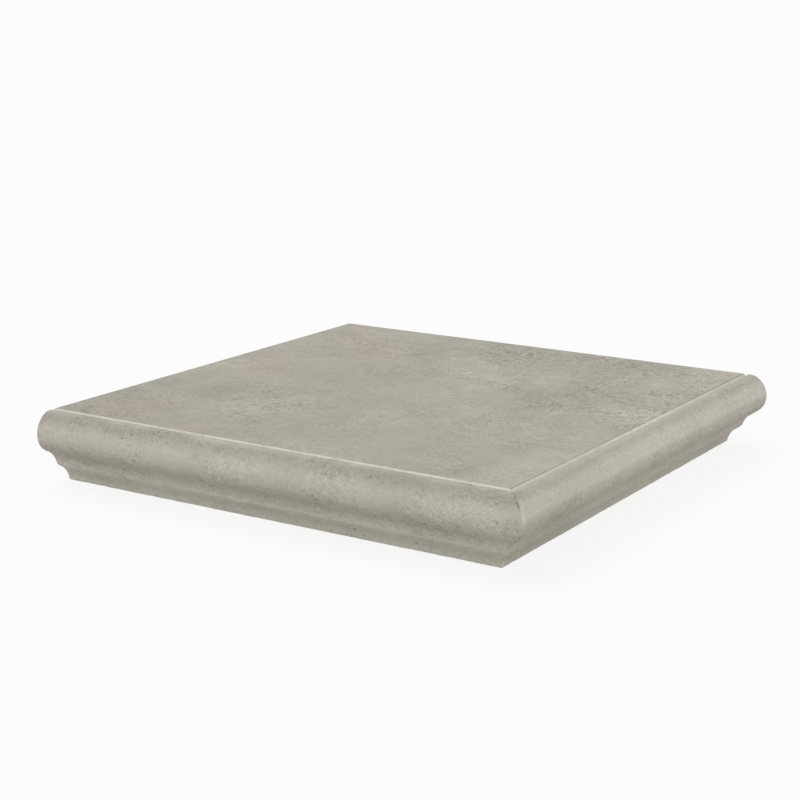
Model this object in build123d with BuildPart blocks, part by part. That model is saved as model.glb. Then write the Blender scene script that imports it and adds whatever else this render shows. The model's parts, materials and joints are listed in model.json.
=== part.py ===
from build123d import *
import os

# Corner stair tread tile, in millimetres: one fired ceramic piece for the outer corner of a stair.
# A level plate carries a moulded nosing along two adjoining edges, the front one and the right one,
# which meet in a mitre at the corner. The two other edges are cut straight to butt on further treads.
# The origin is under the middle of the square, at floor level, with the tread face up.

# Plate
TREAD_SIDE = 330.0  # from a cut edge to the outermost line of the nosing, the same both ways
PLATE_THICKNESS = 14.0  # from the tread face to the bedding face
PLATE_ARRIS = 0.6  # chamfer along the two cut edges of the tread face

# Nosing, from the tread face down: a round bead, an upper hollow, a lip and a lower hollow
QUIRK_DEPTH = 1.6  # fine groove that sets the bead off from the plate
QUIRK_WALL = 0.9  # how far the plate's side of that groove leans back
QUIRK_RUN = 2.6  # from the bottom of the groove out to the bead's crown
CROWN_RUN = 2.2  # width of the crown, level with the tread face, before the shoulder is rounded
SHOULDER_RUN = 10.2  # from the crown out to the outermost line
SHOULDER_RADIUS = 6.3
BEAD_RISE = 13.5  # from the outermost line up to the crown
BEAD_FALL = 11.2  # from the outermost line down to the upper hollow
BEAD_UNDERCUT = 7.2  # from the outermost line in to the upper hollow
UPPER_HOLLOW_HEIGHT = 11.0
UPPER_HOLLOW_DEPTH = 8.7
LIP_RADIUS = 5.0
LOWER_HOLLOW_HEIGHT = 11.3
LOWER_HOLLOW_DEPTH = 9.8
LOWER_HOLLOW_SAG = 2.2  # how deep the lower hollow is below a straight slope
FOOT_WIDTH = 14.0  # flat underside of the nosing
ROOT_FILLET = 6.0  # inner corner between the nosing's back and the bedding face

# Dovetail keys in the bedding face, run through from one cut edge
KEY_PITCH = 24.0
KEY_MOUTH = 12.0
KEY_DEPTH = 2.0
KEY_FLANK = 105.0  # angle at the mouth, in degrees
KEY_END = 10.0  # plain ground left between the keys and the root fillet

# Lines of the section that follow from those sizes
nosing_height = BEAD_RISE + BEAD_FALL + UPPER_HOLLOW_HEIGHT + LOWER_HOLLOW_HEIGHT
crown_setback = SHOULDER_RUN + CROWN_RUN
quirk_setback = crown_setback + QUIRK_RUN
lip_setback = BEAD_UNDERCUT + UPPER_HOLLOW_DEPTH
foot_setback = lip_setback + LOWER_HOLLOW_DEPTH
back_setback = foot_setback + FOOT_WIDTH
outer_line = -TREAD_SIDE / 2
bed_level = nosing_height - PLATE_THICKNESS


def at(setback, height):
    """A point of the front nosing's section: how far in from its outermost line, and how high."""
    return (outer_line + setback, height)


plate_edge = at(quirk_setback + QUIRK_WALL, nosing_height)
quirk = at(quirk_setback, nosing_height - QUIRK_DEPTH)
crown = at(crown_setback, nosing_height)
shoulder = at(SHOULDER_RUN, nosing_height)
nose = at(0, nosing_height - BEAD_RISE)
bead_end = at(BEAD_UNDERCUT, nosing_height - BEAD_RISE - BEAD_FALL)
lip = at(lip_setback, LOWER_HOLLOW_HEIGHT)
foot = at(foot_setback, 0)
root = at(back_setback, bed_level)

section_plane = Plane.YZ.offset(-TREAD_SIDE / 2)
mitre = Plane(origin=(0, 0, 0), x_dir=(1, -1, 0), z_dir=(1, 1, 0))

# The keys fill the bedding face evenly, between the root fillet and the far cut edge
bed_start = outer_line + back_setback + ROOT_FILLET
bed_span = TREAD_SIDE / 2 - bed_start
key_count = max(1, int(bed_span / KEY_PITCH))
key_length = TREAD_SIDE - back_setback - ROOT_FILLET - KEY_END

with BuildPart() as corner_tread:
    # The front half: plate and nosing in one section, run along the front and mitred at the corner
    with BuildSketch(section_plane) as section:
        with BuildLine():
            Line(plate_edge, quirk)
            TangentArc(crown, quirk, tangent=(1, 0))
            Line(crown, shoulder)
            TangentArc(nose, shoulder, tangent=(0, 1))
            bead_underside = TangentArc(nose, bead_end, tangent=(0, -1))
            TangentArc(bead_end, lip, tangent=bead_underside % 1)
            SagittaArc(lip, foot, LOWER_HOLLOW_SAG)
            Polyline(
                foot,
                at(back_setback, 0),
                root,
                at(TREAD_SIDE, bed_level),
                at(TREAD_SIDE, nosing_height),
                plate_edge,
            )
        make_face()
        for corner, radius in ((shoulder, SHOULDER_RADIUS), (lip, LIP_RADIUS), (root, ROOT_FILLET)):
            fillet(section.vertices().sort_by_distance(corner)[0], radius)
    extrude(amount=TREAD_SIDE)
    split(bisect_by=mitre, keep=Keep.BOTTOM)

    # The right half is its mirror image across the mitre
    mirror(about=mitre)

    with BuildSketch(section_plane):
        with Locations((bed_start + bed_span / 2, bed_level)):
            with GridLocations(KEY_PITCH, 0, key_count, 1):
                Trapezoid(KEY_MOUTH, KEY_DEPTH, KEY_FLANK, align=(Align.CENTER, Align.MIN))
    extrude(amount=key_length, mode=Mode.SUBTRACT)

    tread_face = corner_tread.faces().group_by(Axis.Z)[-1].sort_by(SortBy.AREA)[-1]
    tread_edges = tread_face.edges()
    chamfer(tread_edges.group_by(Axis.X)[0] + tread_edges.group_by(Axis.Y)[-1], PLATE_ARRIS)

corner_tread.part.label = "corner_tread"

os.makedirs("parts", exist_ok=True)
export_step(corner_tread.part, "parts/corner_tread.step")
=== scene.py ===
"""Corner stair tread tile, dressed: the fine shape and the finishes of one fired stoneware piece.

Lengths are in metres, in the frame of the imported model: +Z is up through the tread face, the front nosing
lies along -Y and the right one along +X, and the mitre runs from their outer corner to the opposite one.
"""

import json
import logging
import math
from dataclasses import dataclass, field
from enum import Enum
from functools import reduce

import bmesh
import bpy
import numpy as np
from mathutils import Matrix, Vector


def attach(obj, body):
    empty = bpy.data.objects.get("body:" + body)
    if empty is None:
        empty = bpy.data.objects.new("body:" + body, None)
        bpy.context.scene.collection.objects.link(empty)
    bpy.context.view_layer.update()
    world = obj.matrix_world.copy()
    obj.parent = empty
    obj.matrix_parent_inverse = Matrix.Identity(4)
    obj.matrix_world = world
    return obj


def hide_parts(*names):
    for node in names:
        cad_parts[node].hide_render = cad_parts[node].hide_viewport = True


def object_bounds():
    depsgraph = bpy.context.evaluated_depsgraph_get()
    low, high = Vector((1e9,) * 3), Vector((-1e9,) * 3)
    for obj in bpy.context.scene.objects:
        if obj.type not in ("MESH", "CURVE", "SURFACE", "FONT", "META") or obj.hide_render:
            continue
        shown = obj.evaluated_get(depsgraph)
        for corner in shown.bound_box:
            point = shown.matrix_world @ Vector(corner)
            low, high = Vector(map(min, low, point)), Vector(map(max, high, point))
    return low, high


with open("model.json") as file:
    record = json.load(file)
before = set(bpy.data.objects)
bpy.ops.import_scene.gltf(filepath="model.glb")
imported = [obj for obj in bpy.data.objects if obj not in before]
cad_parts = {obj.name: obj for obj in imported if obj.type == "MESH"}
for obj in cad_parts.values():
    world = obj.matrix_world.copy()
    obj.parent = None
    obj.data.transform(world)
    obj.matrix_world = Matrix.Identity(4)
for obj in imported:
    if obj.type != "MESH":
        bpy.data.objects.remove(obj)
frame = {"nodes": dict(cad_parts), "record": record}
cad_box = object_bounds()

log = logging.getLogger("corner_tread")

MM = 0.001
TINY = 0.001 * MM
NODE = "corner_tread"

Colour = tuple[float, float, float]
Point = tuple[float, float, float]
Socket = bpy.types.NodeSocket

WHITE: Colour = (1.0, 1.0, 1.0)


class Surface(Enum):
    """The finishes of the piece, by their place in its list of materials."""

    FIRED = 0
    SAWN = 1
    BISCUIT = 2


class Arm(Enum):
    """The two arms of the nosing."""

    FRONT = 0
    RIGHT = 1


class Value:
    """A number that varies over a surface: an output socket whose Python operators add Math nodes."""

    def __init__(self, tree: "ShaderTree", socket: Socket) -> None:
        """Wraps an output socket.

        Args:
            tree: The tree that the socket's node is in.
            socket: The output socket.
        """
        self.tree = tree
        self.socket = socket

    def math(self, operation: str, *others: "Value | float") -> "Value":
        """Adds one Math node.

        Args:
            operation: The Math node's operation, with this value as its first operand.
            others: Its other operands, in order.

        Returns:
            The node's result.
        """
        operands = dict(enumerate((self, *others)))
        made = self.tree.node("ShaderNodeMath", {"operation": operation}, operands)
        return Value(self.tree, made.outputs[0])

    def __add__(self, other: "Value | float") -> "Value":
        """This value plus another."""
        return self.math("ADD", other)

    __radd__ = __add__

    def __sub__(self, other: "Value | float") -> "Value":
        """This value less another."""
        return self.math("SUBTRACT", other)

    def __rsub__(self, other: float) -> "Value":
        """A number less this value."""
        return (self * -1.0) + other

    def __mul__(self, other: "Value | float") -> "Value":
        """This value times another."""
        return self.math("MULTIPLY", other)

    __rmul__ = __mul__

    def least(self, other: "Value | float") -> "Value":
        """The smaller of this value and another."""
        return self.math("MINIMUM", other)

    def most(self, other: "Value | float") -> "Value":
        """The larger of this value and another."""
        return self.math("MAXIMUM", other)

    def size(self) -> "Value":
        """This value without its sign."""
        return self.math("ABSOLUTE")

    def rise(self, low: float, high: float) -> "Value":
        """A smooth step over this value.

        Args:
            low: Where the step is still 0.
            high: Where it has reached 1; below low for a step that falls as this value grows.

        Returns:
            The step, from 0 to 1.
        """
        ends = {"From Min": min(low, high), "From Max": max(low, high)}
        turned = {"To Min": float(low > high), "To Max": float(low < high)}
        step = self.tree.node(
            "ShaderNodeMapRange", {"interpolation_type": "SMOOTHSTEP"}, {"Value": self, **ends, **turned}
        )
        return Value(self.tree, step.outputs["Result"])

    def hump(self, centre: float, width: float) -> "Value":
        """A soft band over this value, 1 at the centre and 0 a width away from it."""
        return (self - centre).size().rise(width, 0.0)


class ShaderTree:
    """A material's or a world's node tree, emptied and ready for new nodes."""

    def __init__(self, owner: bpy.types.Material | bpy.types.World) -> None:
        """Empties the owner's tree.

        Args:
            owner: The material or world whose tree it is.
        """
        owner.use_nodes = True
        self.tree = owner.node_tree
        self.tree.nodes.clear()

    def node(self, kind: str, settings: dict | None = None, inputs: dict | None = None) -> bpy.types.Node:
        """Adds one node.

        Args:
            kind: The node's type.
            settings: Its own settings, set before its sockets.
            inputs: Values or links of its sockets, by the socket's name or place.

        Returns:
            The new node.
        """
        made = self.tree.nodes.new(kind)
        for name, setting in (settings or {}).items():
            setattr(made, name, setting)
        for key, given in (inputs or {}).items():
            self.feed(self.socket_of(made, key), given)
        return made

    @staticmethod
    def socket_of(node: bpy.types.Node, key: str | int) -> Socket:
        """Finds an input of a node.

        Args:
            node: The node.
            key: The input's place, or its name among the inputs that the node's settings leave in use.

        Returns:
            The input.
        """
        if isinstance(key, int):
            return node.inputs[key]
        return next(socket for socket in node.inputs if socket.enabled and socket.name == key)

    def feed(self, socket: Socket, given: object) -> None:
        """Links a value or another output to an input, or sets the input to a constant.

        Args:
            socket: The input.
            given: A wrapped value, an output socket, a number, a vector or a colour.
        """
        if isinstance(given, Value):
            given = given.socket
        if isinstance(given, Socket):
            self.tree.links.new(given, socket)
        elif socket.type == "RGBA" and len(given) == 3:
            socket.default_value = (*given, 1.0)
        else:
            socket.default_value = given

    def noise(self, place: Socket, grain: float, detail: float, roughness: float = 0.5) -> Value:
        """Even noise about 0.5.

        Args:
            place: The coordinates to read.
            grain: The size of its largest blotches.
            detail: How many finer octaves it has.
            roughness: How strong those are.

        Returns:
            The noise, mostly from 0.2 to 0.8.
        """
        sockets = {"Vector": place, "Scale": 1.0 / grain, "Detail": detail, "Roughness": roughness}
        return Value(self, self.node("ShaderNodeTexNoise", {"noise_dimensions": "3D"}, sockets).outputs[0])

    def dots(self, place: Socket, pitch: float) -> Value:
        """Distance to scattered points.

        Args:
            place: The coordinates to read.
            pitch: The points' mean pitch.

        Returns:
            The distance to the nearest point, in shares of the pitch.
        """
        settings = {"voronoi_dimensions": "3D", "feature": "F1"}
        sockets = {"Vector": place, "Scale": 1.0 / pitch, "Randomness": 1.0}
        return Value(self, self.node("ShaderNodeTexVoronoi", settings, sockets).outputs["Distance"])

    def tint(
        self,
        under: "Socket | Colour",
        over: "Value | Socket | Colour",
        share: "Value | float",
        blend: str = "MIX",
    ) -> Socket:
        """Lays one colour over another.

        Args:
            under: The colour below.
            over: The colour on top.
            share: How much of the top colour shows, from 0 to 1.
            blend: The Mix node's way of blending.

        Returns:
            The blended colour.
        """
        sockets = {"Factor": share, "A": under, "B": over}
        mixed = self.node("ShaderNodeMix", {"data_type": "RGBA", "blend_type": blend}, sockets)
        return next(socket for socket in mixed.outputs if socket.enabled)

    def shift(self, place: Socket, by: "Socket | Point") -> Socket:
        """Coordinates moved by a vector."""
        return self.node("ShaderNodeVectorMath", {"operation": "ADD"}, {0: place, 1: by}).outputs[0]

    def stretch(self, place: Socket, by: "Socket | Point") -> Socket:
        """Coordinates multiplied, axis by axis, by a vector."""
        return self.node("ShaderNodeVectorMath", {"operation": "MULTIPLY"}, {0: place, 1: by}).outputs[0]

    def warp(self, place: Socket, grain: float, reach: float) -> Socket:
        """Coordinates pushed about by noise.

        Args:
            place: The coordinates.
            grain: The size of the noise's blotches.
            reach: How far it pushes.

        Returns:
            The pushed coordinates.
        """
        sockets = {"Vector": place, "Scale": 1.0 / grain, "Detail": 1.0}
        drift = self.node("ShaderNodeTexNoise", {"noise_dimensions": "3D"}, sockets).outputs["Color"]
        return self.shift(place, self.stretch(drift, (reach,) * 3))

    def vector(self, x: "Value | float", y: "Value | float", z: "Value | float") -> Socket:
        """A vector from its three numbers."""
        return self.node("ShaderNodeCombineXYZ", None, {0: x, 1: y, 2: z}).outputs[0]

    def finish(
        self,
        colour: Socket,
        roughness: Value,
        shine: float,
        relief: Value,
        depth: float,
        strength: float,
    ) -> None:
        """Ends a material's tree with one matt surface that has a fine relief.

        Args:
            colour: Its colour.
            roughness: Its roughness.
            shine: The level of its reflections.
            relief: The height of the relief, as a share of its depth.
            depth: The depth of the relief.
            strength: How much of the relief shows.
        """
        bump = self.node("ShaderNodeBump", None, {"Strength": strength, "Distance": depth, "Height": relief})
        sockets = {
            "Base Color": colour,
            "Roughness": roughness,
            "Specular IOR Level": shine,
            "Normal": bump.outputs[0],
        }
        surface = self.node("ShaderNodeBsdfPrincipled", None, sockets)
        self.node("ShaderNodeOutputMaterial", None, {"Surface": surface.outputs[0]})


@dataclass
class Section:
    """The solid's section across the front nosing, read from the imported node.

    A point of it is a setback from the nosing's outermost line and a height. The band runs from the tread
    face over the nosing to the bedding face. A key is a channel of the bedding face, as the setbacks of its
    two mouth corners and its two deep corners.
    """

    node: bpy.types.Object
    half: float
    flat_turn: float = math.radians(0.1)
    corner_turn: float = math.radians(30.0)
    straight_chord: float = 5.0 * MM
    curve_step: float = 0.8 * MM
    straight_step: float = 3.0 * MM
    arris: float = 0.45 * MM
    hollow_arris: float = 0.2 * MM
    arris_points: int = 5
    top_margin: float = 6.0 * MM
    bed_margin: float = 3.0 * MM
    foot_level: float = 0.1 * MM
    top: float = field(init=False)
    bed: float = field(init=False)
    plate_edge: float = field(init=False)
    groove: float = field(init=False)
    band: np.ndarray = field(init=False)
    foot_start: int = field(init=False)
    keys: list[tuple[float, float, float, float]] = field(init=False)
    key_depth: float = field(init=False)
    key_end: float = field(init=False)

    def __post_init__(self) -> None:
        """Reads the loop and splits it into the band and the keys."""
        loop = self.read_loop()
        self.top = float(loop[:, 1].max())
        self.bed = float(loop[-2 if loop[-1, 1] > loop[-2, 1] else -1, 1])
        self.plate_edge, self.groove = float(loop[1, 0]), float(loop[2, 0])
        on_bed = np.flatnonzero((np.abs(loop[:, 1] - self.bed) < TINY) & (loop[:, 0] > 0))
        root_end = int(on_bed[0])
        mouths = loop[root_end + 1 : on_bed[-1]]
        corners = mouths[:, 0].reshape(-1, 4)
        self.keys = [tuple(float(s) for s in (one[0], one[3], one[1], one[2])) for one in corners]
        self.key_depth = float(mouths[:, 1].max() - self.bed)
        self.key_end = self.read_key_end()
        start = (loop[1, 0] + self.top_margin, self.top)
        end = (loop[root_end, 0] + self.bed_margin, self.bed)
        self.band = self.soften(np.vstack([start, loop[1 : root_end + 1], end]))
        self.foot_start = int(np.flatnonzero(self.band[:, 1] < self.foot_level)[0])

    def read_loop(self) -> np.ndarray:
        """Cuts the node across the front nosing, half way along.

        Returns:
            The cut's corners in order, from the tread face's cut edge over the nosing and under the plate.
        """
        mesh = bmesh.new()
        mesh.from_mesh(self.node.data)
        bmesh.ops.remove_doubles(mesh, verts=mesh.verts, dist=TINY)
        everything = mesh.verts[:] + mesh.edges[:] + mesh.faces[:]
        bmesh.ops.bisect_plane(
            mesh, geom=everything, plane_co=(0, 0, 0), plane_no=(1, 0, 0), clear_inner=True, clear_outer=True
        )
        bmesh.ops.dissolve_limit(mesh, angle_limit=self.flat_turn, verts=mesh.verts, edges=mesh.edges)
        top = max(vertex.co.z for vertex in mesh.verts)
        level = [vertex for vertex in mesh.verts if top - vertex.co.z < TINY]
        first = max(level, key=lambda vertex: vertex.co.y)
        walk = [first]
        came_by = max(first.link_edges, key=lambda edge: edge.other_vert(first).co.y)
        while len(walk) < len(mesh.verts):
            came_by = next(edge for edge in walk[-1].link_edges if edge is not came_by)
            walk.append(came_by.other_vert(walk[-1]))
        loop = np.array([(vertex.co.y + self.half, vertex.co.z) for vertex in walk])
        mesh.free()
        return loop

    def read_key_end(self) -> float:
        """Where the keys stop, along X."""
        deep = self.bed + self.key_depth
        return max(v.co.x for v in self.node.data.vertices if abs(v.co.z - deep) < TINY)

    def soften(self, outline: np.ndarray) -> np.ndarray:
        """Rounds an open outline: arcs get more points, and corners become small arrises.

        Args:
            outline: The outline's points, with arcs as chords.

        Returns:
            The rounded outline.
        """
        steps = np.diff(outline, axis=0)
        lengths = np.linalg.norm(steps, axis=1)
        headings = np.arctan2(steps[:, 1], steps[:, 0])
        turns = np.angle(np.exp(1j * np.diff(headings)))
        long = lengths > self.straight_chord
        breaks = [0, len(outline) - 1]
        corners = {}
        for place in range(1, len(outline) - 1):
            if abs(turns[place - 1]) > self.corner_turn:
                corners[place] = turns[place - 1]
            if place in corners or long[place - 1] or long[place]:
                breaks.append(place)
        breaks.sort()
        runs = []
        for first, last in zip(breaks, breaks[1:]):
            run = self.resample(outline[first : last + 1])
            for place, at_end in ((first, False), (last, True)):
                if place in corners:
                    run = self.cut_back(run, self.radius(corners[place]), at_end)
            runs.append(run)
        rounded = [runs[0]]
        for place, run in zip(breaks[1:], runs[1:]):
            if place in corners:
                rounded.append(self.arc(rounded[-1][-1], outline[place], run[0]))
                rounded.append(run)
            else:
                rounded.append(run[1:])
        return np.vstack(rounded)

    def radius(self, turn: float) -> float:
        """The arris at a corner: full on the solid's outer corners, small in its inner ones."""
        return self.arris if turn > 0 else self.hollow_arris

    def resample(self, chords: np.ndarray) -> np.ndarray:
        """Puts points on the smooth curve through the corners of a chain of chords.

        Args:
            chords: The chain; one chord alone is a straight line.

        Returns:
            Points along the curve, both ends among them.
        """
        steps = np.diff(chords, axis=0)
        lengths = np.linalg.norm(steps, axis=1)
        step = self.straight_step if len(chords) == 2 else self.curve_step
        tangents = np.empty_like(chords)
        pull = steps / lengths[:, None] ** 2
        tangents[1:-1] = pull[:-1] + pull[1:]
        if len(chords) == 2:
            tangents[:] = steps[0]
        else:
            tangents[0] = self.mirrored(tangents[1], steps[0])
            tangents[-1] = self.mirrored(tangents[-2], steps[-1])
        tangents /= np.linalg.norm(tangents, axis=1)[:, None]
        points = [chords[:1]]
        for place, length in enumerate(lengths):
            t = np.linspace(0.0, 1.0, max(1, round(length / step)) + 1)[1:, None]
            points.append(
                (2 * t**3 - 3 * t**2 + 1) * chords[place]
                + (t**3 - 2 * t**2 + t) * length * tangents[place]
                + (3 * t**2 - 2 * t**3) * chords[place + 1]
                + (t**3 - t**2) * length * tangents[place + 1]
            )
        return np.vstack(points)

    @staticmethod
    def mirrored(tangent: np.ndarray, chord: np.ndarray) -> np.ndarray:
        """The tangent at a chord's one end, from that at the other, as on a circle."""
        along = chord / np.linalg.norm(chord)
        return 2 * np.dot(tangent, along) * along - tangent

    @staticmethod
    def cut_back(run: np.ndarray, length: float, at_end: bool) -> np.ndarray:
        """Shortens a run of points at one end.

        Args:
            run: The points.
            length: How much goes, measured straight from that end.
            at_end: True for the run's last end, False for its first.

        Returns:
            The shorter run.
        """
        run = run[::-1] if at_end else run
        away = np.linalg.norm(run - run[0], axis=1)
        keep = int(np.flatnonzero(away > length)[0])
        share = (length - away[keep - 1]) / (away[keep] - away[keep - 1])
        new_end = run[keep - 1] + share * (run[keep] - run[keep - 1])
        run = np.vstack([new_end, run[keep:]])
        return run[::-1] if at_end else run

    def arc(self, start: np.ndarray, corner: np.ndarray, end: np.ndarray) -> np.ndarray:
        """The points of a small round between two others, inside their corner and without those ends."""
        t = np.linspace(0.0, 1.0, self.arris_points)[1:-1, None]
        return (1 - t) ** 2 * start + 2 * t * (1 - t) * corner + t**2 * end

    def inward(self) -> np.ndarray:
        """Finds which way the solid lies.

        Returns:
            The direction into the solid at each point of the band.
        """
        along = np.gradient(self.band, axis=0)
        along /= np.linalg.norm(along, axis=1)[:, None]
        return np.stack([-along[:, 1], along[:, 0]], axis=1)


@dataclass
class CornerTread:
    """The tile: plate, mitred nosing, cut sides and keyed underside, as one closed mesh."""

    half: float
    section: Section
    run_step: float = 3.2 * MM
    end_step: float = 0.5 * MM
    growth: float = 1.35
    fine_share: float = 0.25
    cut_arris: float = 0.5 * MM
    mitre_line: float = 0.4
    mitre_round: float = 0.6 * MM
    mitre_sink: float = 0.12 * MM
    wave_height: float = 0.05 * MM
    wave_lengths: tuple[float, ...] = (90.0 * MM, 41.0 * MM, 23.0 * MM)
    wear_depth: float = 0.16 * MM
    nick_lengths: tuple[float, ...] = (13.0 * MM, 7.3 * MM, 4.1 * MM)
    worn_bend: float = math.radians(12.0)
    smooth_turn: float = math.radians(35.0)
    seed: int = 11
    vertices: list[np.ndarray] = field(default_factory=list, init=False)
    faces: list[tuple[int, ...]] = field(default_factory=list, init=False)
    surfaces: list[Surface] = field(default_factory=list, init=False)
    shares: np.ndarray = field(init=False)
    insets: np.ndarray = field(init=False)
    mouth_lines: list[tuple[int, int]] = field(init=False)
    key_line: int = field(init=False)
    arms: dict[Arm, np.ndarray] = field(init=False)
    tread: np.ndarray = field(init=False)
    bedding: np.ndarray = field(init=False)
    channels: list[np.ndarray] = field(default_factory=list, init=False)

    @property
    def run(self) -> float:
        """How far the innermost line of the nosing runs, from a cut side to the mitre."""
        return 2 * self.half - self.section.band[-1, 0]

    def line_at(self, place: float) -> int:
        """The number of the line across the nosing that is nearest to a place on its innermost line."""
        return int(np.argmin(np.abs(self.shares * self.run - place)))

    def build(self, finishes: dict[Surface, bpy.types.Material]) -> bpy.types.Object:
        """Makes the mesh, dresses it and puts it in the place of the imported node.

        Args:
            finishes: The material of each surface.

        Returns:
            The finished object.
        """
        self.lay_runs()
        self.lay_points()
        self.lay_faces()
        mesh = bpy.data.meshes.new("corner_tread_fired")
        mesh.from_pydata(np.vstack(self.vertices).tolist(), [], self.faces)
        for surface in Surface:
            mesh.materials.append(finishes[surface])
        mesh.polygons.foreach_set("material_index", [surface.value for surface in self.surfaces])
        self.close(mesh)
        piece = bpy.data.objects.new("corner_tread_fired", mesh)
        bpy.context.scene.collection.objects.link(piece)
        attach(piece, "root")
        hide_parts(NODE)
        return piece

    def close(self, mesh: bpy.types.Mesh) -> None:
        """Turns all faces outward and shades them smooth except across true edges.

        Args:
            mesh: The mesh to finish.
        """
        work = bmesh.new()
        work.from_mesh(mesh)
        bmesh.ops.recalc_face_normals(work, faces=work.faces)
        work.to_mesh(mesh)
        work.free()
        mesh.shade_smooth()
        mesh.set_sharp_from_angle(angle=self.smooth_turn)

    def lay_runs(self) -> None:
        """Spaces the lines across the nosing, as shares of the way from a cut side to the mitre."""
        length, side, edge = self.run, 2 * self.half, self.cut_arris
        ends = [edge]
        while ends[-1] < self.fine_share * length:
            ends.append(ends[-1] + min(self.run_step, self.end_step * self.growth ** len(ends)))
        middle = np.linspace(ends[-1], length - ends[-1], round((length - 2 * ends[-1]) / self.run_step) + 1)
        last = length - self.mitre_line * edge
        runs = np.array(sorted({*ends, *middle[1:-1], *(length - d for d in ends), last}))
        mouths = np.array([[side - far, side - near] for near, far, _, _ in self.section.keys])
        fixed = np.array([*mouths.ravel(), self.section.key_end + self.half])
        in_mouth = ((runs[:, None] > mouths[:, 0]) & (runs[:, None] < mouths[:, 1])).any(axis=1)
        near_fixed = np.abs(runs[:, None] - fixed).min(axis=1) < self.end_step
        runs = np.sort(np.concatenate([runs[~(in_mouth | near_fixed)], fixed]))
        rounding = edge * (1 - math.sin(math.pi / 4))
        self.shares = np.concatenate([[0.0, rounding], runs, [length]]) / length
        self.insets = np.zeros(len(self.shares))
        self.insets[:2] = edge, rounding
        self.mouth_lines = [(self.line_at(far), self.line_at(near)) for far, near in mouths]
        self.key_line = self.line_at(fixed[-1])

    def allot(self, points: np.ndarray) -> np.ndarray:
        """Adds vertices.

        Args:
            points: Their places, in an array of any shape whose last axis is X, Y and Z.

        Returns:
            Their numbers, in the same shape.
        """
        start = sum(len(part) for part in self.vertices)
        self.vertices.append(points.reshape(-1, 3))
        return np.arange(start, start + points[..., 0].size).reshape(points.shape[:-1])

    def lay_points(self) -> None:
        """Places the vertices of both arms of the nosing, the tread face, the bedding face and the keys."""
        front = self.arm_points(Arm.FRONT)
        right = self.arm_points(Arm.RIGHT)
        self.arms = {Arm.FRONT: self.allot(front), Arm.RIGHT: np.empty(front.shape[:2], int)}
        self.arms[Arm.RIGHT][:, :-1] = self.allot(right[:, :-1])
        self.arms[Arm.RIGHT][:, -1] = self.arms[Arm.FRONT][:, -1]
        self.tread = self.square(0, -1.0)
        self.bedding = self.square(-1, 1.0)
        count = self.key_line + 1
        for _, _, deep_near, deep_far in self.section.keys:
            points = np.empty((2, count, 3))
            points[..., 0] = self.shares[:count] * self.run - self.half
            points[0, :, 1] = deep_far - self.half
            points[1, :, 1] = deep_near - self.half
            points[..., 2] = self.section.bed + self.section.key_depth + self.insets[:count]
            self.channels.append(self.allot(points))

    def arm_points(self, arm: Arm) -> np.ndarray:
        """The vertices of one arm of the nosing, mitre included.

        Args:
            arm: Which arm.

        Returns:
            Places by point of the band and line across it.
        """
        inward = self.section.inward()
        band = self.section.band[:, None, :] + self.insets[None, :, None] * inward[:, None, :]
        setback, height = band[..., 0], band[..., 1]
        reach = 2 * self.half - self.section.band[:, 0]
        along = self.shares[None, :] * reach[:, None]
        worn = self.wear(arm, along)
        setback = setback + worn * inward[:, None, 0]
        height = height + worn * inward[:, None, 1]
        away = reach[:, None] - along
        rounding = self.mitre_rounding()[:, None]
        turn = math.pi / 4 * (1 - np.clip(away / np.maximum(rounding, 1e-9), 0.0, 1.0))
        close = (away < rounding).astype(float)
        along = along + close * (away - rounding * (1 - np.sin(turn)))
        setback = setback + close * rounding * (1 - np.cos(turn))
        x, y = along - self.half, setback - self.half
        if arm is Arm.RIGHT:
            x, y = -y, -x
        return np.stack([x, y, height], axis=-1)

    def mitre_rounding(self) -> np.ndarray:
        """Finds how much the mitre's edge is rounded.

        Returns:
            The rounding at each point of the band, none on level faces.
        """
        points = np.arange(len(self.section.band))
        bead = self.section.band[:, 0] < self.section.band[0, 0] - self.section.top_margin
        rounding = np.where(bead | (self.section.band[:, 1] < self.section.bed), self.mitre_round, 0.0)
        rounding[points >= self.section.foot_start] = 0.0
        return rounding

    def wear(self, arm: Arm, along: np.ndarray) -> np.ndarray:
        """How far the fired surface lies inside the true section: slow waves, and more on the arrises.

        Args:
            arm: Which arm, because the two differ.
            along: The distance of each vertex from the cut side.

        Returns:
            A depth for each vertex, never below zero and none at the band's ends or on the mitre.
        """
        draws = np.random.default_rng(self.seed + arm.value)
        place = np.arange(len(self.section.band)) * self.section.curve_step
        waves = np.zeros_like(along)
        for length in self.wave_lengths:
            phase, slant = draws.uniform(0, 2 * math.pi), draws.uniform(-1.0, 1.0)
            waves += np.sin(2 * math.pi * (along + slant * place[:, None]) / length + phase) / 3
        nicks = np.zeros_like(along)
        for length in self.nick_lengths:
            phase = draws.uniform(0, 2 * math.pi)
            nicks += np.sin(2 * math.pi * along / length + phase) / 3
        bend = np.abs(np.gradient(np.unwrap(np.arctan2(*self.section.inward().T)), edge_order=1))
        sharp = np.clip(bend / self.worn_bend, 0.0, 1.0)[:, None]
        worn = self.wear_depth * sharp * np.clip(nicks + 0.2, 0.0, 1.0)
        depth = self.wave_height * (0.5 + 0.5 * waves) + worn
        ends = np.minimum(place, place[::-1])[:, None]
        fade = np.clip(ends / self.section.top_margin, 0.0, 1.0)
        reach = (2 * self.half - self.section.band[:, 0])[:, None]
        near_mitre = np.clip((reach - along) / (4 * self.mitre_round), 0.0, 1.0)
        return depth * fade * near_mitre + self.mitre_sink * fade * (1 - near_mitre)

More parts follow.
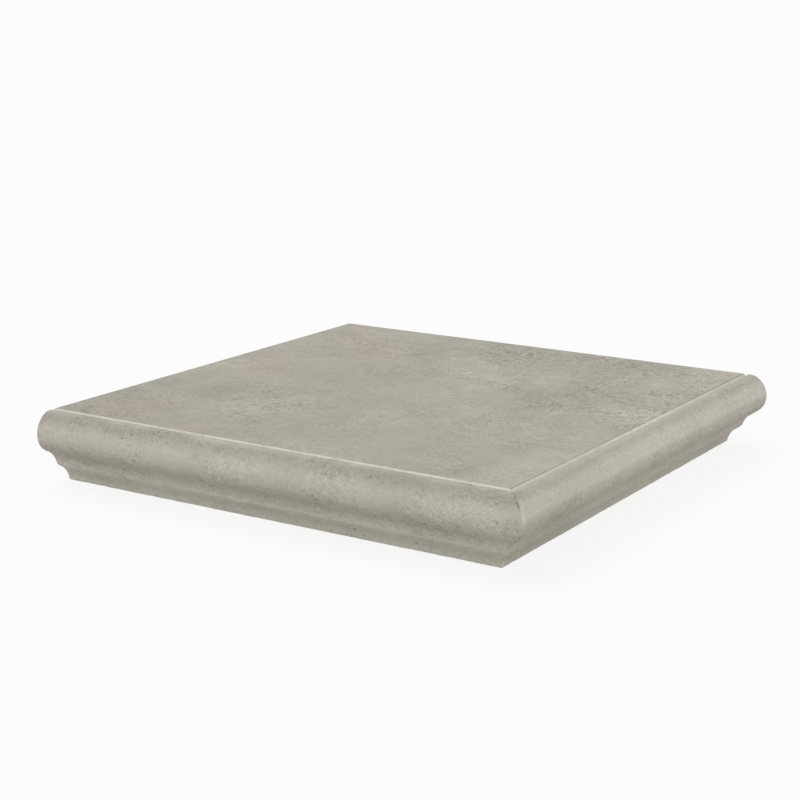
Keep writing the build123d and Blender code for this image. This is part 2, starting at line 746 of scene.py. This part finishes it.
    def square(self, band_end: int, down: float) -> np.ndarray:
        """The vertices of a level square inside the nosing: the tread face or the bedding face.

        Args:
            band_end: The end of the band that it joins, 0 or -1.
            down: Which way its arris turns at the cut sides, -1 for down and 1 for up.

        Returns:
            Vertex numbers by line from the left side and line from the back side.
        """
        setback, height = self.section.band[band_end]
        reach = self.shares * (2 * self.half - setback)
        x, y = np.meshgrid(reach - self.half, self.half - reach, indexing="ij")
        inset = np.maximum(self.insets[:, None], self.insets[None, :])
        numbers = np.empty(x.shape, int)
        numbers[:-1, :-1] = self.allot(np.stack([x, y, height + down * inset], axis=-1)[:-1, :-1])
        numbers[:, -1] = self.arms[Arm.FRONT][band_end]
        numbers[-1, :] = self.arms[Arm.RIGHT][band_end]
        return numbers

    def add_face(self, surface: Surface, *corners: int) -> None:
        """Adds one face of a surface, from its vertex numbers."""
        self.faces.append(tuple(int(corner) for corner in corners))
        self.surfaces.append(surface)

    def add_grid(self, surface: Surface, numbers: np.ndarray) -> None:
        """Adds the four-sided faces between neighbouring vertices of a grid.

        Args:
            surface: The surface that they are on.
            numbers: The grid's vertex numbers.
        """
        for one, two in zip(numbers, numbers[1:]):
            for place in range(len(one) - 1):
                self.add_face(surface, one[place], one[place + 1], two[place + 1], two[place])

    def lay_faces(self) -> None:
        """Joins the vertices into faces: moulded ones, the bedding face with its keys, and the cut sides."""
        foot = self.section.foot_start
        for numbers in self.arms.values():
            self.add_grid(Surface.FIRED, numbers[: foot + 1])
            self.add_grid(Surface.BISCUIT, numbers[foot:])
        self.add_grid(Surface.FIRED, self.tread)
        self.lay_bedding()
        self.lay_cut_sides()

    def lay_bedding(self) -> None:
        """Joins the bedding face, with a channel in place of its faces at each key."""
        key = self.key_line
        start = 0
        for (far_line, near_line), channel in zip(reversed(self.mouth_lines), reversed(self.channels)):
            self.add_grid(Surface.BISCUIT, self.bedding[:, start : far_line + 1])
            self.add_grid(Surface.BISCUIT, self.bedding[key:, far_line : near_line + 1])
            rims = self.bedding[: key + 1, [far_line, near_line]].T
            ring = np.stack([rims[0], *channel, rims[1]])
            self.add_grid(Surface.BISCUIT, ring)
            self.add_face(Surface.BISCUIT, *ring[:, -1])
            start = near_line
        self.add_grid(Surface.BISCUIT, self.bedding[:, start:])

    def lay_cut_sides(self) -> None:
        """Joins the two cut sides: the nosing's ends, and the plate's edges with the keys' open ends."""
        for numbers in self.arms.values():
            self.add_face(Surface.SAWN, *numbers[:, 0])
        self.add_grid(Surface.SAWN, np.stack([self.tread[:, 0], self.bedding[:, 0]]))
        start = 0
        mouths = self.mouth_lines[::-1]
        ends = [(one[1] + two[0]) // 2 for one, two in zip(mouths, mouths[1:])] + [len(self.shares) - 1]
        for (far, near), end, channel in zip(mouths, ends, reversed(self.channels)):
            above = self.tread[0, start : end + 1]
            below = [*self.bedding[0, start : far + 1], *channel[:, 0], *self.bedding[0, near : end + 1]]
            self.add_face(Surface.SAWN, *above, *reversed(below))
            start = end


@dataclass(frozen=True)
class ShadeAndToneBand:
    """A soft stripe along the nosing: how much paler or darker it is there on each arm, as painted light and
    shade with some of the glaze's own tone.

    Its height and spread are in millimetres.
    """

    height: float
    spread: float
    front: float
    right: float


@dataclass(frozen=True)
class Shade:
    """A soft patch of the nosing, paler or darker, by its distance from the mitre and its height.

    Its lengths are in millimetres, and those along the front arm are below zero.
    """

    along: float
    reach: float
    height: float
    spread: float
    amount: float


@dataclass(frozen=True)
class Stain:
    """A soft round patch of the tread face, by its middle and its reach in millimetres."""

    x: float
    y: float
    reach: float


class TileTree(ShaderTree):
    """A material's tree with the tile's own measures as values.

    Attributes:
        x: Place across the tile.
        y: Place along the tile.
        z: Height.
        setback: Distance in from the nosing's outermost line.
        along: Distance from the mitre along an arm, above zero on the right one.
        right: 1 on the right arm's side of the mitre and 0 on the front arm's.
        nosing: 1 on the nosing and 0 on the tread face.
        own: Coordinates parted at the groove and at the mitre, so that no pattern runs across either.
    """

    MITRE_BLUR = 0.2 * MM
    GROOVE_BLUR = 0.4 * MM
    LOW = (2.0 * MM, 3.0 * MM)
    GROOVE_JUMP = 0.37
    MITRE_JUMP = 0.53

    def __init__(self, owner: bpy.types.Material, half: float, top: float, groove: float) -> None:
        """Empties the material's tree and adds the measures.

        Args:
            owner: The material.
            half: Half of the tile's side.
            top: The height of the tread face.
            groove: The setback of the groove's bottom.
        """
        super().__init__(owner)
        place = self.node("ShaderNodeTexCoord").outputs["Object"]
        axes = self.node("ShaderNodeSeparateXYZ", None, {0: place}).outputs
        self.x, self.y, self.z = (Value(self, axis) for axis in axes)
        self.setback = (half - self.x).least(self.y + half)
        self.along = self.x + self.y
        self.right = self.along.rise(-self.MITRE_BLUR, self.MITRE_BLUR)
        low = self.z.rise(top - self.LOW[0], top - self.LOW[1])
        self.nosing = self.setback.rise(groove + self.GROOVE_BLUR, groove - self.GROOVE_BLUR).most(low)
        jump = self.vector(self.nosing * self.GROOVE_JUMP, self.nosing * self.right * self.MITRE_JUMP, 0.0)
        self.own = self.shift(place, jump)


@dataclass(frozen=True)
class FiredFinish:
    """The moulded faces: a matt cement-look glaze with clouds, stains, fine grain, pits and worn arrises, and
    painted light and shade on the nosing, along the groove and on the cut arrises.
    """

    colour: Colour
    half: float
    top: float
    groove: float
    plate_edge: float
    cast: Colour = (1.009, 0.997, 0.981)
    clouding: Colour = (0.412, 0.402, 0.355)
    nosing_tint: Colour = (0.986, 0.988, 1.013)
    # Colour of the groove's pale line: worn glaze with a painted highlight.
    cream_wear_and_highlight: Colour = (0.81, 0.782, 0.705)
    blush: Colour = (1.05, 0.985, 1.012)
    pit_tone: Colour = (0.52, 0.52, 0.51)
    # Colour of the painted shade line along the plate's arris.
    arris_shade_tone: Colour = (0.62, 0.61, 0.58)
    cloud_size: float = 56 * MM
    grain_size: float = 3.0 * MM
    grit_size: float = 1.3 * MM
    gritty_size: float = 40 * MM
    roughness: float = 0.68
    shine: float = 0.35
    relief_depth: float = 0.35 * MM
    relief_strength: float = 0.35
    # Heights and spreads in millimetres: paler at the crown and low down, darker in the hollows, as painted
    # light and shade with some of the glaze's own tone.
    shade_and_tone_bands: tuple[ShadeAndToneBand, ...] = (
        ShadeAndToneBand(47.2, 1.2, 0.17, 0.16),
        ShadeAndToneBand(45.0, 3.6, -0.14, 0.02),
        ShadeAndToneBand(42.2, 3.6, -0.04, 0.22),
        ShadeAndToneBand(38.0, 4.5, 0.10, 0.25),
        ShadeAndToneBand(34.5, 3.5, 0.05, -0.01),
        ShadeAndToneBand(28.0, 6.0, 0.0, -0.17),
        ShadeAndToneBand(27.0, 5.0, -0.13, 0.0),
        ShadeAndToneBand(22.0, 6.0, 0.0, -0.15),
        ShadeAndToneBand(22.0, 7.0, -0.22, 0.0),
        ShadeAndToneBand(12.1, 4.2, 0.18, 0.06),
        ShadeAndToneBand(8.0, 4.5, 0.14, 0.06),
        ShadeAndToneBand(1.5, 6.0, 0.28, 0.14),
    )
    shades: tuple[Shade, ...] = (
        Shade(32, 75, 20, 34, -0.13),
        Shade(170, 95, 5, 20, 0.09),
        Shade(185, 105, 42, 14, 0.07),
        Shade(284, 28, 47, 3, -0.10),
        Shade(4, 9, 10, 6, -0.14),
        Shade(3, 8, 47, 4, -0.12),
        Shade(-4, 14, 34, 9, -0.16),
        Shade(-8, 16, 45, 5, -0.07),
        Shade(-4, 10, 12, 7, -0.12),
        Shade(-26, 32, 4, 9, 0.08),
        Shade(-308, 24, 6, 12, -0.09),
    )
    blushes: tuple[Stain, ...] = (
        Stain(-142, 146, 22),
        Stain(-122, 120, 35),
        Stain(-102, 100, 34),
        Stain(-86, 82, 32),
        Stain(-146, 56, 16),
        Stain(-138, 30, 30),
        Stain(-124, 4, 29),
        Stain(-124, -122, 36),
        Stain(-64, -140, 14),
    )
    pales: tuple[Stain, ...] = (
        Stain(24, 14, 90),
        Stain(138, -88, 70),
        Stain(-120, 62, 52),
        Stain(106, 96, 50),
    )
    dulls: tuple[Stain, ...] = (
        Stain(-42, 150, 62),
        Stain(70, 156, 42),
        Stain(-102, -62, 46),
        Stain(-140, -140, 62),
    )
    smudges: tuple[Stain, ...] = (
        Stain(102, 32, 50),
        Stain(-10, 122, 52),
    )
    spotted: tuple[Stain, ...] = (Stain(-62, -72, 88),)
    grainy: tuple[Stain, ...] = (
        Stain(125, 45, 140),
        Stain(50, 145, 130),
    )
    calm: tuple[Stain, ...] = (
        Stain(-95, 12, 100),
        Stain(40, -100, 100),
        Stain(-100, -130, 70),
    )

    def material(self) -> bpy.types.Material:
        """Makes the material.

        Returns:
            The glaze, with its colour, gloss and relief.
        """
        made = bpy.data.materials.new("fired_stoneware")
        tree = TileTree(made, self.half, self.top, self.groove)
        tread = 1.0 - tree.nosing
        ground = tuple(part * cast for part, cast in zip(self.colour, self.cast))
        clouds = tree.noise(tree.own, self.cloud_size, 4.0, 0.85) - 0.5
        grain = tree.noise(tree.own, self.grain_size, 3.0, 1.0) - 0.5
        gritty = tree.noise(tree.own, self.gritty_size, 2.0).rise(0.36, 0.66) * 1.5 + 0.35
        pits = self.pits(tree)
        grit = tree.noise(tree.own, self.grit_size, 1.0) - 0.5
        calm = self.joined(tree, self.calm) * tread
        lively = 1.0 + self.joined(tree, self.grainy) * tread * 0.5 - calm * 0.4
        tone = grain * gritty * (1.08 - tree.nosing * 0.32) + grit * (0.45 - tree.nosing * 0.2)
        tone = tone * lively + clouds * (0.92 - tree.nosing * 0.49) * (1.0 - calm * 0.45)
        # Darker along the top arrises of the cut sides: painted shade of the rounded arris, partly wear.
        tone = tone - (tree.x + self.half).least(self.half - tree.y).rise(1.6 * MM, 0.4 * MM) * 0.10
        # On the nosing: strips by height that paint light and shade into the glaze's tone, its patches, and
        # the mitre's marks.
        tone = tone + (self.shade_and_tone_stripes(tree) + self.shaded(tree) + self.mitred(tree)) * tree.nosing
        tone = tone + (self.weathered(tree) - self.flecks(tree)) * tread
        colour = tree.tint(ground, tree.tint(self.clouding, tone, 1.0, "MULTIPLY"), 1.0, "ADD")
        colour = tree.tint(colour, self.nosing_tint, tree.nosing, "MULTIPLY")
        colour = tree.tint(colour, self.blush, self.blushed(tree) * tread, "MULTIPLY")
        colour = tree.tint(colour, self.pit_tone, pits, "MULTIPLY")
        colour = self.edged(tree, colour)
        relief = clouds * 0.4 + grain * 0.6 - pits * 0.9
        roughness = self.roughness + grain * 0.25 + pits * 0.15
        tree.finish(colour, roughness, self.shine, relief, self.relief_depth, self.relief_strength)
        return made

    @staticmethod
    def pits(tree: TileTree) -> Value:
        """Small dark pits in clusters, most of them on the nosing and fewest on the bead's front.

        Args:
            tree: The material's tree.

        Returns:
            1 in a pit and 0 elsewhere.
        """
        clusters = tree.noise(tree.own, 26 * MM, 3.0, 0.6).rise(0.46, 0.60)
        bent = tree.warp(tree.own, 1.6 * MM, 1.8 * MM)
        round_ones = tree.dots(bent, 4.2 * MM).rise(0.24, 0.12)
        small_ones = tree.dots(bent, 2.3 * MM).rise(0.32, 0.18)
        ragged = tree.noise(tree.own, 1.7 * MM, 3.0, 0.7).rise(0.58, 0.70)
        pits = (round_ones + small_ones * 0.6 + ragged * 0.6).least(1.0)
        rubbed = 1.0 - tree.z.hump(37 * MM, 7 * MM) * 0.6
        rubbed = rubbed * (1.0 - tree.along.hump(-165 * MM, 110 * MM) * 0.5)
        return pits * clusters * rubbed * (0.1 + tree.nosing * (0.9 - tree.right * 0.45))

    def shade_and_tone_stripes(self, tree: TileTree) -> Value:
        """The nosing's paler and darker strips by height, broken up along their length: painted light and
        shade, with some of the glaze's own tone.

        Args:
            tree: The material's tree.

        Returns:
            What to add to the tone.
        """
        broken = tree.noise(tree.own, 30 * MM, 4.0, 0.6)
        wavy = tree.z + (broken - 0.5) * (3.0 * MM)
        shade_and_tone_stripes = []
        for band in self.shade_and_tone_bands:
            level = wavy.hump(band.height * MM, band.spread * MM)
            shade_and_tone_stripes.append(level * (band.front + tree.right * (band.right - band.front)))
        return reduce(Value.__add__, shade_and_tone_stripes) * (0.8 + broken * 0.4)

    def shaded(self, tree: TileTree) -> Value:
        """The nosing's paler and darker patches, each on its own arm.

        Args:
            tree: The material's tree.

        Returns:
            What to add to the tone.
        """
        front = 1.0 - tree.right
        patches = []
        for shade in self.shades:
            arm = tree.right if shade.along > 0 else front
            upright = tree.z.hump(shade.height * MM, shade.spread * MM) * shade.amount
            patches.append(tree.along.hump(shade.along * MM, shade.reach * MM) * upright * arm)
        return reduce(Value.__add__, patches)

    @staticmethod
    def mitred(tree: TileTree) -> Value:
        """The mitre's worn edge: a broken dark hairline, a paler strip to its right and a chip at the foot.

        Args:
            tree: The material's tree.

        Returns:
            What to add to the tone.
        """
        broken = tree.noise(tree.own, 7 * MM, 2.0)
        depth = 0.06 + tree.z.rise(39 * MM, 44 * MM) * 0.28 + tree.z.hump(25 * MM, 9 * MM) * 0.14
        line = tree.along.hump(-0.9 * MM, 1.3 * MM) * broken.rise(0.32, 0.52) * depth
        strip = tree.along.rise(-0.1 * MM, 0.4 * MM) * tree.along.rise(7.0 * MM, 1.4 * MM)
        chip = tree.along.hump(0.5 * MM, 1.0 * MM) * tree.z.hump(2.2 * MM, 2.2 * MM)
        return strip * tree.z.hump(37 * MM, 9 * MM) * (broken * 0.25) - line + chip * 0.8

    def weathered(self, tree: TileTree) -> Value:
        """The tread face's paler and duller drifts, and a pale strip along the right arm's groove.

        Args:
            tree: The material's tree.

        Returns:
            What to add to the tone.
        """
        strip = (self.half - tree.x).rise(60 * MM, 20 * MM)
        return self.joined(tree, self.pales) * 0.06 + strip * 0.08 - self.joined(tree, self.dulls) * 0.08

    def flecks(self, tree: TileTree) -> Value:
        """Fine dark mottling of the tread face, thickest in its smudges.

        Args:
            tree: The material's tree.

        Returns:
            What to take off the tone.
        """
        fine = tree.noise(tree.own, 3.4 * MM, 2.0, 0.7).rise(0.46, 0.62)
        drift = tree.noise(tree.own, 24 * MM, 3.0, 0.6).rise(0.36, 0.60)
        spots = tree.noise(tree.own, 10 * MM, 1.0).rise(0.56, 0.72) * self.joined(tree, self.spotted)
        thick = self.joined(tree, self.smudges) * drift * 0.18 + self.joined(tree, self.grainy) * 0.05
        return fine * (0.03 + thick) + spots * 0.08

    def blushed(self, tree: TileTree) -> Value:
        """Faint warm stains of the tread face.

        Args:
            tree: The material's tree.

        Returns:
            1 in a stain and 0 elsewhere.
        """
        drift = tree.noise(tree.own, 22 * MM, 4.0, 0.65)
        return (self.joined(tree, self.blushes) * (0.2 + drift * 1.6)).rise(0.10, 0.55)

    @staticmethod
    def joined(tree: TileTree, stains: tuple[Stain, ...]) -> Value:
        """Soft round patches as one: at each place the strongest of them.

        Args:
            tree: The material's tree.
            stains: The patches.

        Returns:
            1 in the middle of a patch and 0 past its reach.
        """
        patches = []
        for stain in stains:
            across, along = tree.x - stain.x * MM, tree.y - stain.y * MM
            patches.append((across * across + along * along).math("SQRT").rise(stain.reach * MM, 0.0))
        return reduce(Value.most, patches)

    def edged(self, tree: TileTree, colour: Socket) -> Socket:
        """Draws the groove: a pale creamy line, part worn glaze and part painted highlight, and a painted
        shade line along the plate's arris, mostly on the right arm.

        Args:
            tree: The material's tree.
            colour: The colour so far.

        Returns:
            The colour with its worn lines.
        """
        upper = tree.z.rise(self.top - 2.4 * MM, self.top - 1.8 * MM)
        # This mask sets both the pale line, part wear and part painted highlight, and the painted shade line
        # on the arris.
        worn = upper * (0.65 + tree.noise(tree.own, 8 * MM, 3.0, 0.6).rise(0.34, 0.58) * 0.55)
        inner = tree.setback + tree.right * (0.4 * MM)
        wear_and_highlight_mask = inner.rise(self.groove - 2.6 * MM, self.groove - 0.4 * MM)
        outer = tree.setback + tree.right * (0.3 * MM)
        wear_and_highlight_mask = wear_and_highlight_mask * outer.rise(self.plate_edge + 0.8 * MM, self.plate_edge + 0.1 * MM) * worn
        wear_and_highlight_mask = wear_and_highlight_mask * tree.z.rise(self.top - 2.0 * MM, self.top - 0.8 * MM)
        palest = 0.76 + tree.along.hump(160 * MM, 120 * MM) * 0.24
        # Pale line in the groove: worn glaze and painted highlight.
        colour = tree.tint(colour, self.cream_wear_and_highlight, wear_and_highlight_mask.least(1.0) * palest)
        # Painted shade along the plate's arris, faint on the front arm and full on the right one.
        shaded = tree.setback.hump(self.plate_edge + 0.4 * MM, 0.9 * MM) * worn * (0.15 + tree.right * 0.85)
        return tree.tint(colour, self.arris_shade_tone, shaded.least(1.0), "MULTIPLY")


@dataclass(frozen=True)
class BodyFinish:
    """Bare stoneware: the sawn sides, with their saw marks, or the dusty underside."""

    name: str
    dusty: float
    mark_stretch: Point
    colour: Colour = (0.50, 0.465, 0.40)
    dust: Colour = (0.66, 0.64, 0.59)
    cloud_size: float = 40 * MM
    grain_size: float = 1.1 * MM
    mark_size: float = 1.6 * MM
    dust_size: float = 18 * MM
    speck_pitch: float = 2.2 * MM
    roughness: float = 0.86
    shine: float = 0.25
    relief_depth: float = 0.3 * MM
    relief_strength: float = 0.5

    def material(self) -> bpy.types.Material:
        """Makes the material.

        Returns:
            The bare body, with its grain, dust and marks.
        """
        made = bpy.data.materials.new(self.name)
        tree = ShaderTree(made)
        place = tree.node("ShaderNodeTexCoord").outputs["Object"]
        clouds = tree.noise(place, self.cloud_size, 6.0, 0.75) - 0.5
        grain = tree.noise(place, self.grain_size, 2.0, 0.6) - 0.5
        marks = tree.noise(tree.stretch(place, self.mark_stretch), self.mark_size, 3.0) - 0.5
        specks = tree.dots(place, self.speck_pitch).rise(0.26, 0.14)
        tone = 1.0 + clouds * 0.4 + grain * 0.22 + marks * 0.16 - specks * 0.14
        powder = tree.noise(place, self.dust_size, 5.0, 0.7).rise(0.42, 0.66) * self.dusty
        colour = tree.tint(tree.tint(self.colour, tone, 1.0, "MULTIPLY"), self.dust, powder)
        relief = grain * 0.6 + marks * 0.8 - specks * 0.5
        roughness = self.roughness + grain * 0.2
        tree.finish(colour, roughness, self.shine, relief, self.relief_depth, self.relief_strength)
        return made


@dataclass(frozen=True)
class SoftLight:
    """A far, wide lamp that lights the tile and the floor evenly.

    Its level is the share of white that a white surface facing it would render at, and its spread is how wide
    it looks from the tile, which softens its shadows.
    """

    name: str
    azimuth: float
    elevation: float
    spread: float
    level: float

    def build(self) -> bpy.types.Object:
        """Makes the lamp and turns it towards the tile.

        Returns:
            The lamp.
        """
        data = bpy.data.lights.new(self.name, "SUN")
        data.angle = self.spread
        data.energy = self.level * math.pi
        lamp = bpy.data.objects.new(self.name, data)
        lamp.rotation_euler = (math.pi / 2 - self.elevation, 0.0, self.azimuth)
        bpy.context.scene.collection.objects.link(lamp)
        return lamp


@dataclass
class Studio:
    """A plain white floor, an even world, two soft lamps, low in front and high, and the camera."""

    floor_size: float = 400.0
    floor_drop: float = 0.2 * MM
    floor_tone: float = 0.95
    floor_glow: float = 0.85
    world_level: float = 0.47
    lamps: tuple[SoftLight, ...] = (
        SoftLight("front_soft", math.radians(47.0), math.radians(7.0), math.radians(70.0), 0.58),
        SoftLight("high_soft", math.radians(-60.0), math.radians(70.0), math.radians(70.0), 0.30),
    )
    eye: Point = (0.5539, -0.8816, 0.2972)
    azimuth: float = math.radians(32.764)
    pitch: float = math.radians(13.708)
    lens: float = 77.39
    sensor: float = 36.0

    def build(self) -> None:
        """Makes the floor, the light and the camera."""
        self.floor()
        self.world()
        for lamp in self.lamps:
            lamp.build()
        self.camera()
        bpy.context.scene.view_settings.view_transform = "Standard"

    @staticmethod
    def seen_directly(tree: ShaderTree) -> Value:
        """Tells where the background is seen from where it only lights.

        Args:
            tree: The background's tree.

        Returns:
            1 where it is seen, also in a reflection or through glass, and 0 elsewhere.
        """
        path = tree.node("ShaderNodeLightPath").outputs
        rays = [Value(tree, path[name]) for name in ("Is Camera Ray", "Is Glossy Ray", "Is Transmission Ray")]
        return rays[0].most(rays[1]).most(rays[2])

    def floor(self) -> None:
        """Makes a white floor that keeps a light shadow."""
        mesh = bpy.data.meshes.new("floor")
        reach = self.floor_size / 2
        corners = ((-reach, -reach), (reach, -reach), (reach, reach), (-reach, reach))
        mesh.from_pydata([(x, y, -self.floor_drop) for x, y in corners], [], [(0, 1, 2, 3)])
        paint = bpy.data.materials.new("floor_white")
        tree = ShaderTree(paint)
        matt = tree.node("ShaderNodeBsdfDiffuse", None, {"Color": (self.floor_tone,) * 3})
        glow = tree.node("ShaderNodeEmission", None, {"Color": WHITE, "Strength": 1.0})
        share = self.seen_directly(tree) * self.floor_glow
        mixed = tree.node("ShaderNodeMixShader", None, {0: share, 1: matt.outputs[0], 2: glow.outputs[0]})
        tree.node("ShaderNodeOutputMaterial", None, {"Surface": mixed.outputs[0]})
        mesh.materials.append(paint)
        floor = bpy.data.objects.new("floor", mesh)
        bpy.context.scene.collection.objects.link(floor)

    def world(self) -> None:
        """Makes an even white world, brighter where it is seen directly."""
        world = bpy.data.worlds.new("studio")
        bpy.context.scene.world = world
        tree = ShaderTree(world)
        light = tree.node("ShaderNodeBackground", None, {"Color": WHITE, "Strength": self.world_level})
        white = tree.node("ShaderNodeBackground", None, {"Color": WHITE, "Strength": 1.0})
        sockets = {0: self.seen_directly(tree), 1: light.outputs[0], 2: white.outputs[0]}
        mixed = tree.node("ShaderNodeMixShader", None, sockets)
        tree.node("ShaderNodeOutputWorld", None, {"Surface": mixed.outputs[0]})

    def camera(self) -> None:
        """Makes the camera at the viewpoint worked out from the tile's own edges."""
        data = bpy.data.cameras.new("camera")
        data.lens = self.lens
        data.sensor_width = self.sensor
        camera = bpy.data.objects.new("camera", data)
        camera.location = self.eye
        camera.rotation_euler = (math.pi / 2 - self.pitch, 0.0, self.azimuth)
        bpy.context.scene.collection.objects.link(camera)
        bpy.context.scene.camera = camera


def main() -> None:
    """Builds the tile and the studio, and reports each piece."""
    logging.basicConfig(level=logging.INFO, format="%(name)s: %(message)s")
    low, high = cad_box
    half = (high.x - low.x) / 2
    section = Section(frame["nodes"][NODE], half)
    colour = tuple(frame["record"]["materials"][0]["base_color"])
    fired = FiredFinish(colour, half, section.top, section.groove, section.plate_edge)
    finishes = {
        Surface.FIRED: fired.material(),
        Surface.SAWN: BodyFinish("sawn_stoneware", 0.25, (1.0, 1.0, 0.05)).material(),
        Surface.BISCUIT: BodyFinish("biscuit_underside", 0.7, (0.08, 1.0, 1.0)).material(),
    }
    tile = CornerTread(half, section).build(finishes)
    log.info("%s: %d faces", tile.name, len(tile.data.polygons))
    Studio().build()


if __name__ == "__main__":
    main()
